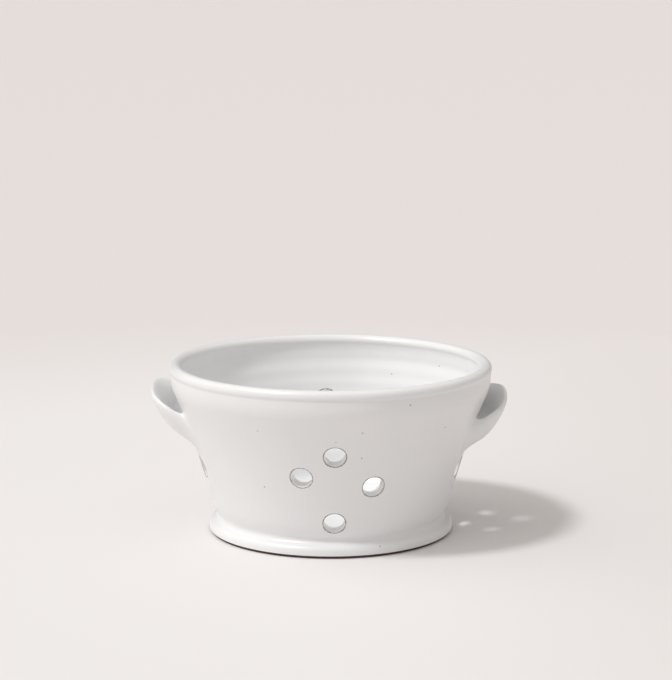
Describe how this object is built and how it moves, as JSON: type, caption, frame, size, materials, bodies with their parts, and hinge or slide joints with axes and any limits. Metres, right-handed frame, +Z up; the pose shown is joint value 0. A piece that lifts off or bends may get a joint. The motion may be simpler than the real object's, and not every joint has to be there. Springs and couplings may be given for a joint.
{
  "type": "berry colander bowl",
  "caption": "Round white-glazed stoneware berry colander with a flared wall, rounded lip, beaded foot, diamond clusters of drain holes and upswept strap handles at the sides.",
  "frame": {"origin": "centre of the foot, on the surface that the bowl stands on", "axes": "+Z up along the wheel's axis, +X towards the right handle, -Y towards the viewer of the picture"},
  "size_m": [0.1696, 0.1524, 0.081],
  "materials": {
    "stoneware": "bare fired clay, matt",
    "white_glaze": "semi-gloss white glaze with fine iron specks",
    "slip": "fired slip, matt"
  },
  "bodies": {
    "root": {"thrown_bowl": "stoneware", "bowl_glaze": "white_glaze", "right_handle": "stoneware", "right_handle_slip": "slip", "right_handle_glaze": "white_glaze", "left_handle": "stoneware", "left_handle_slip": "slip", "left_handle_glaze": "white_glaze"}
  },
  "joints": []
}
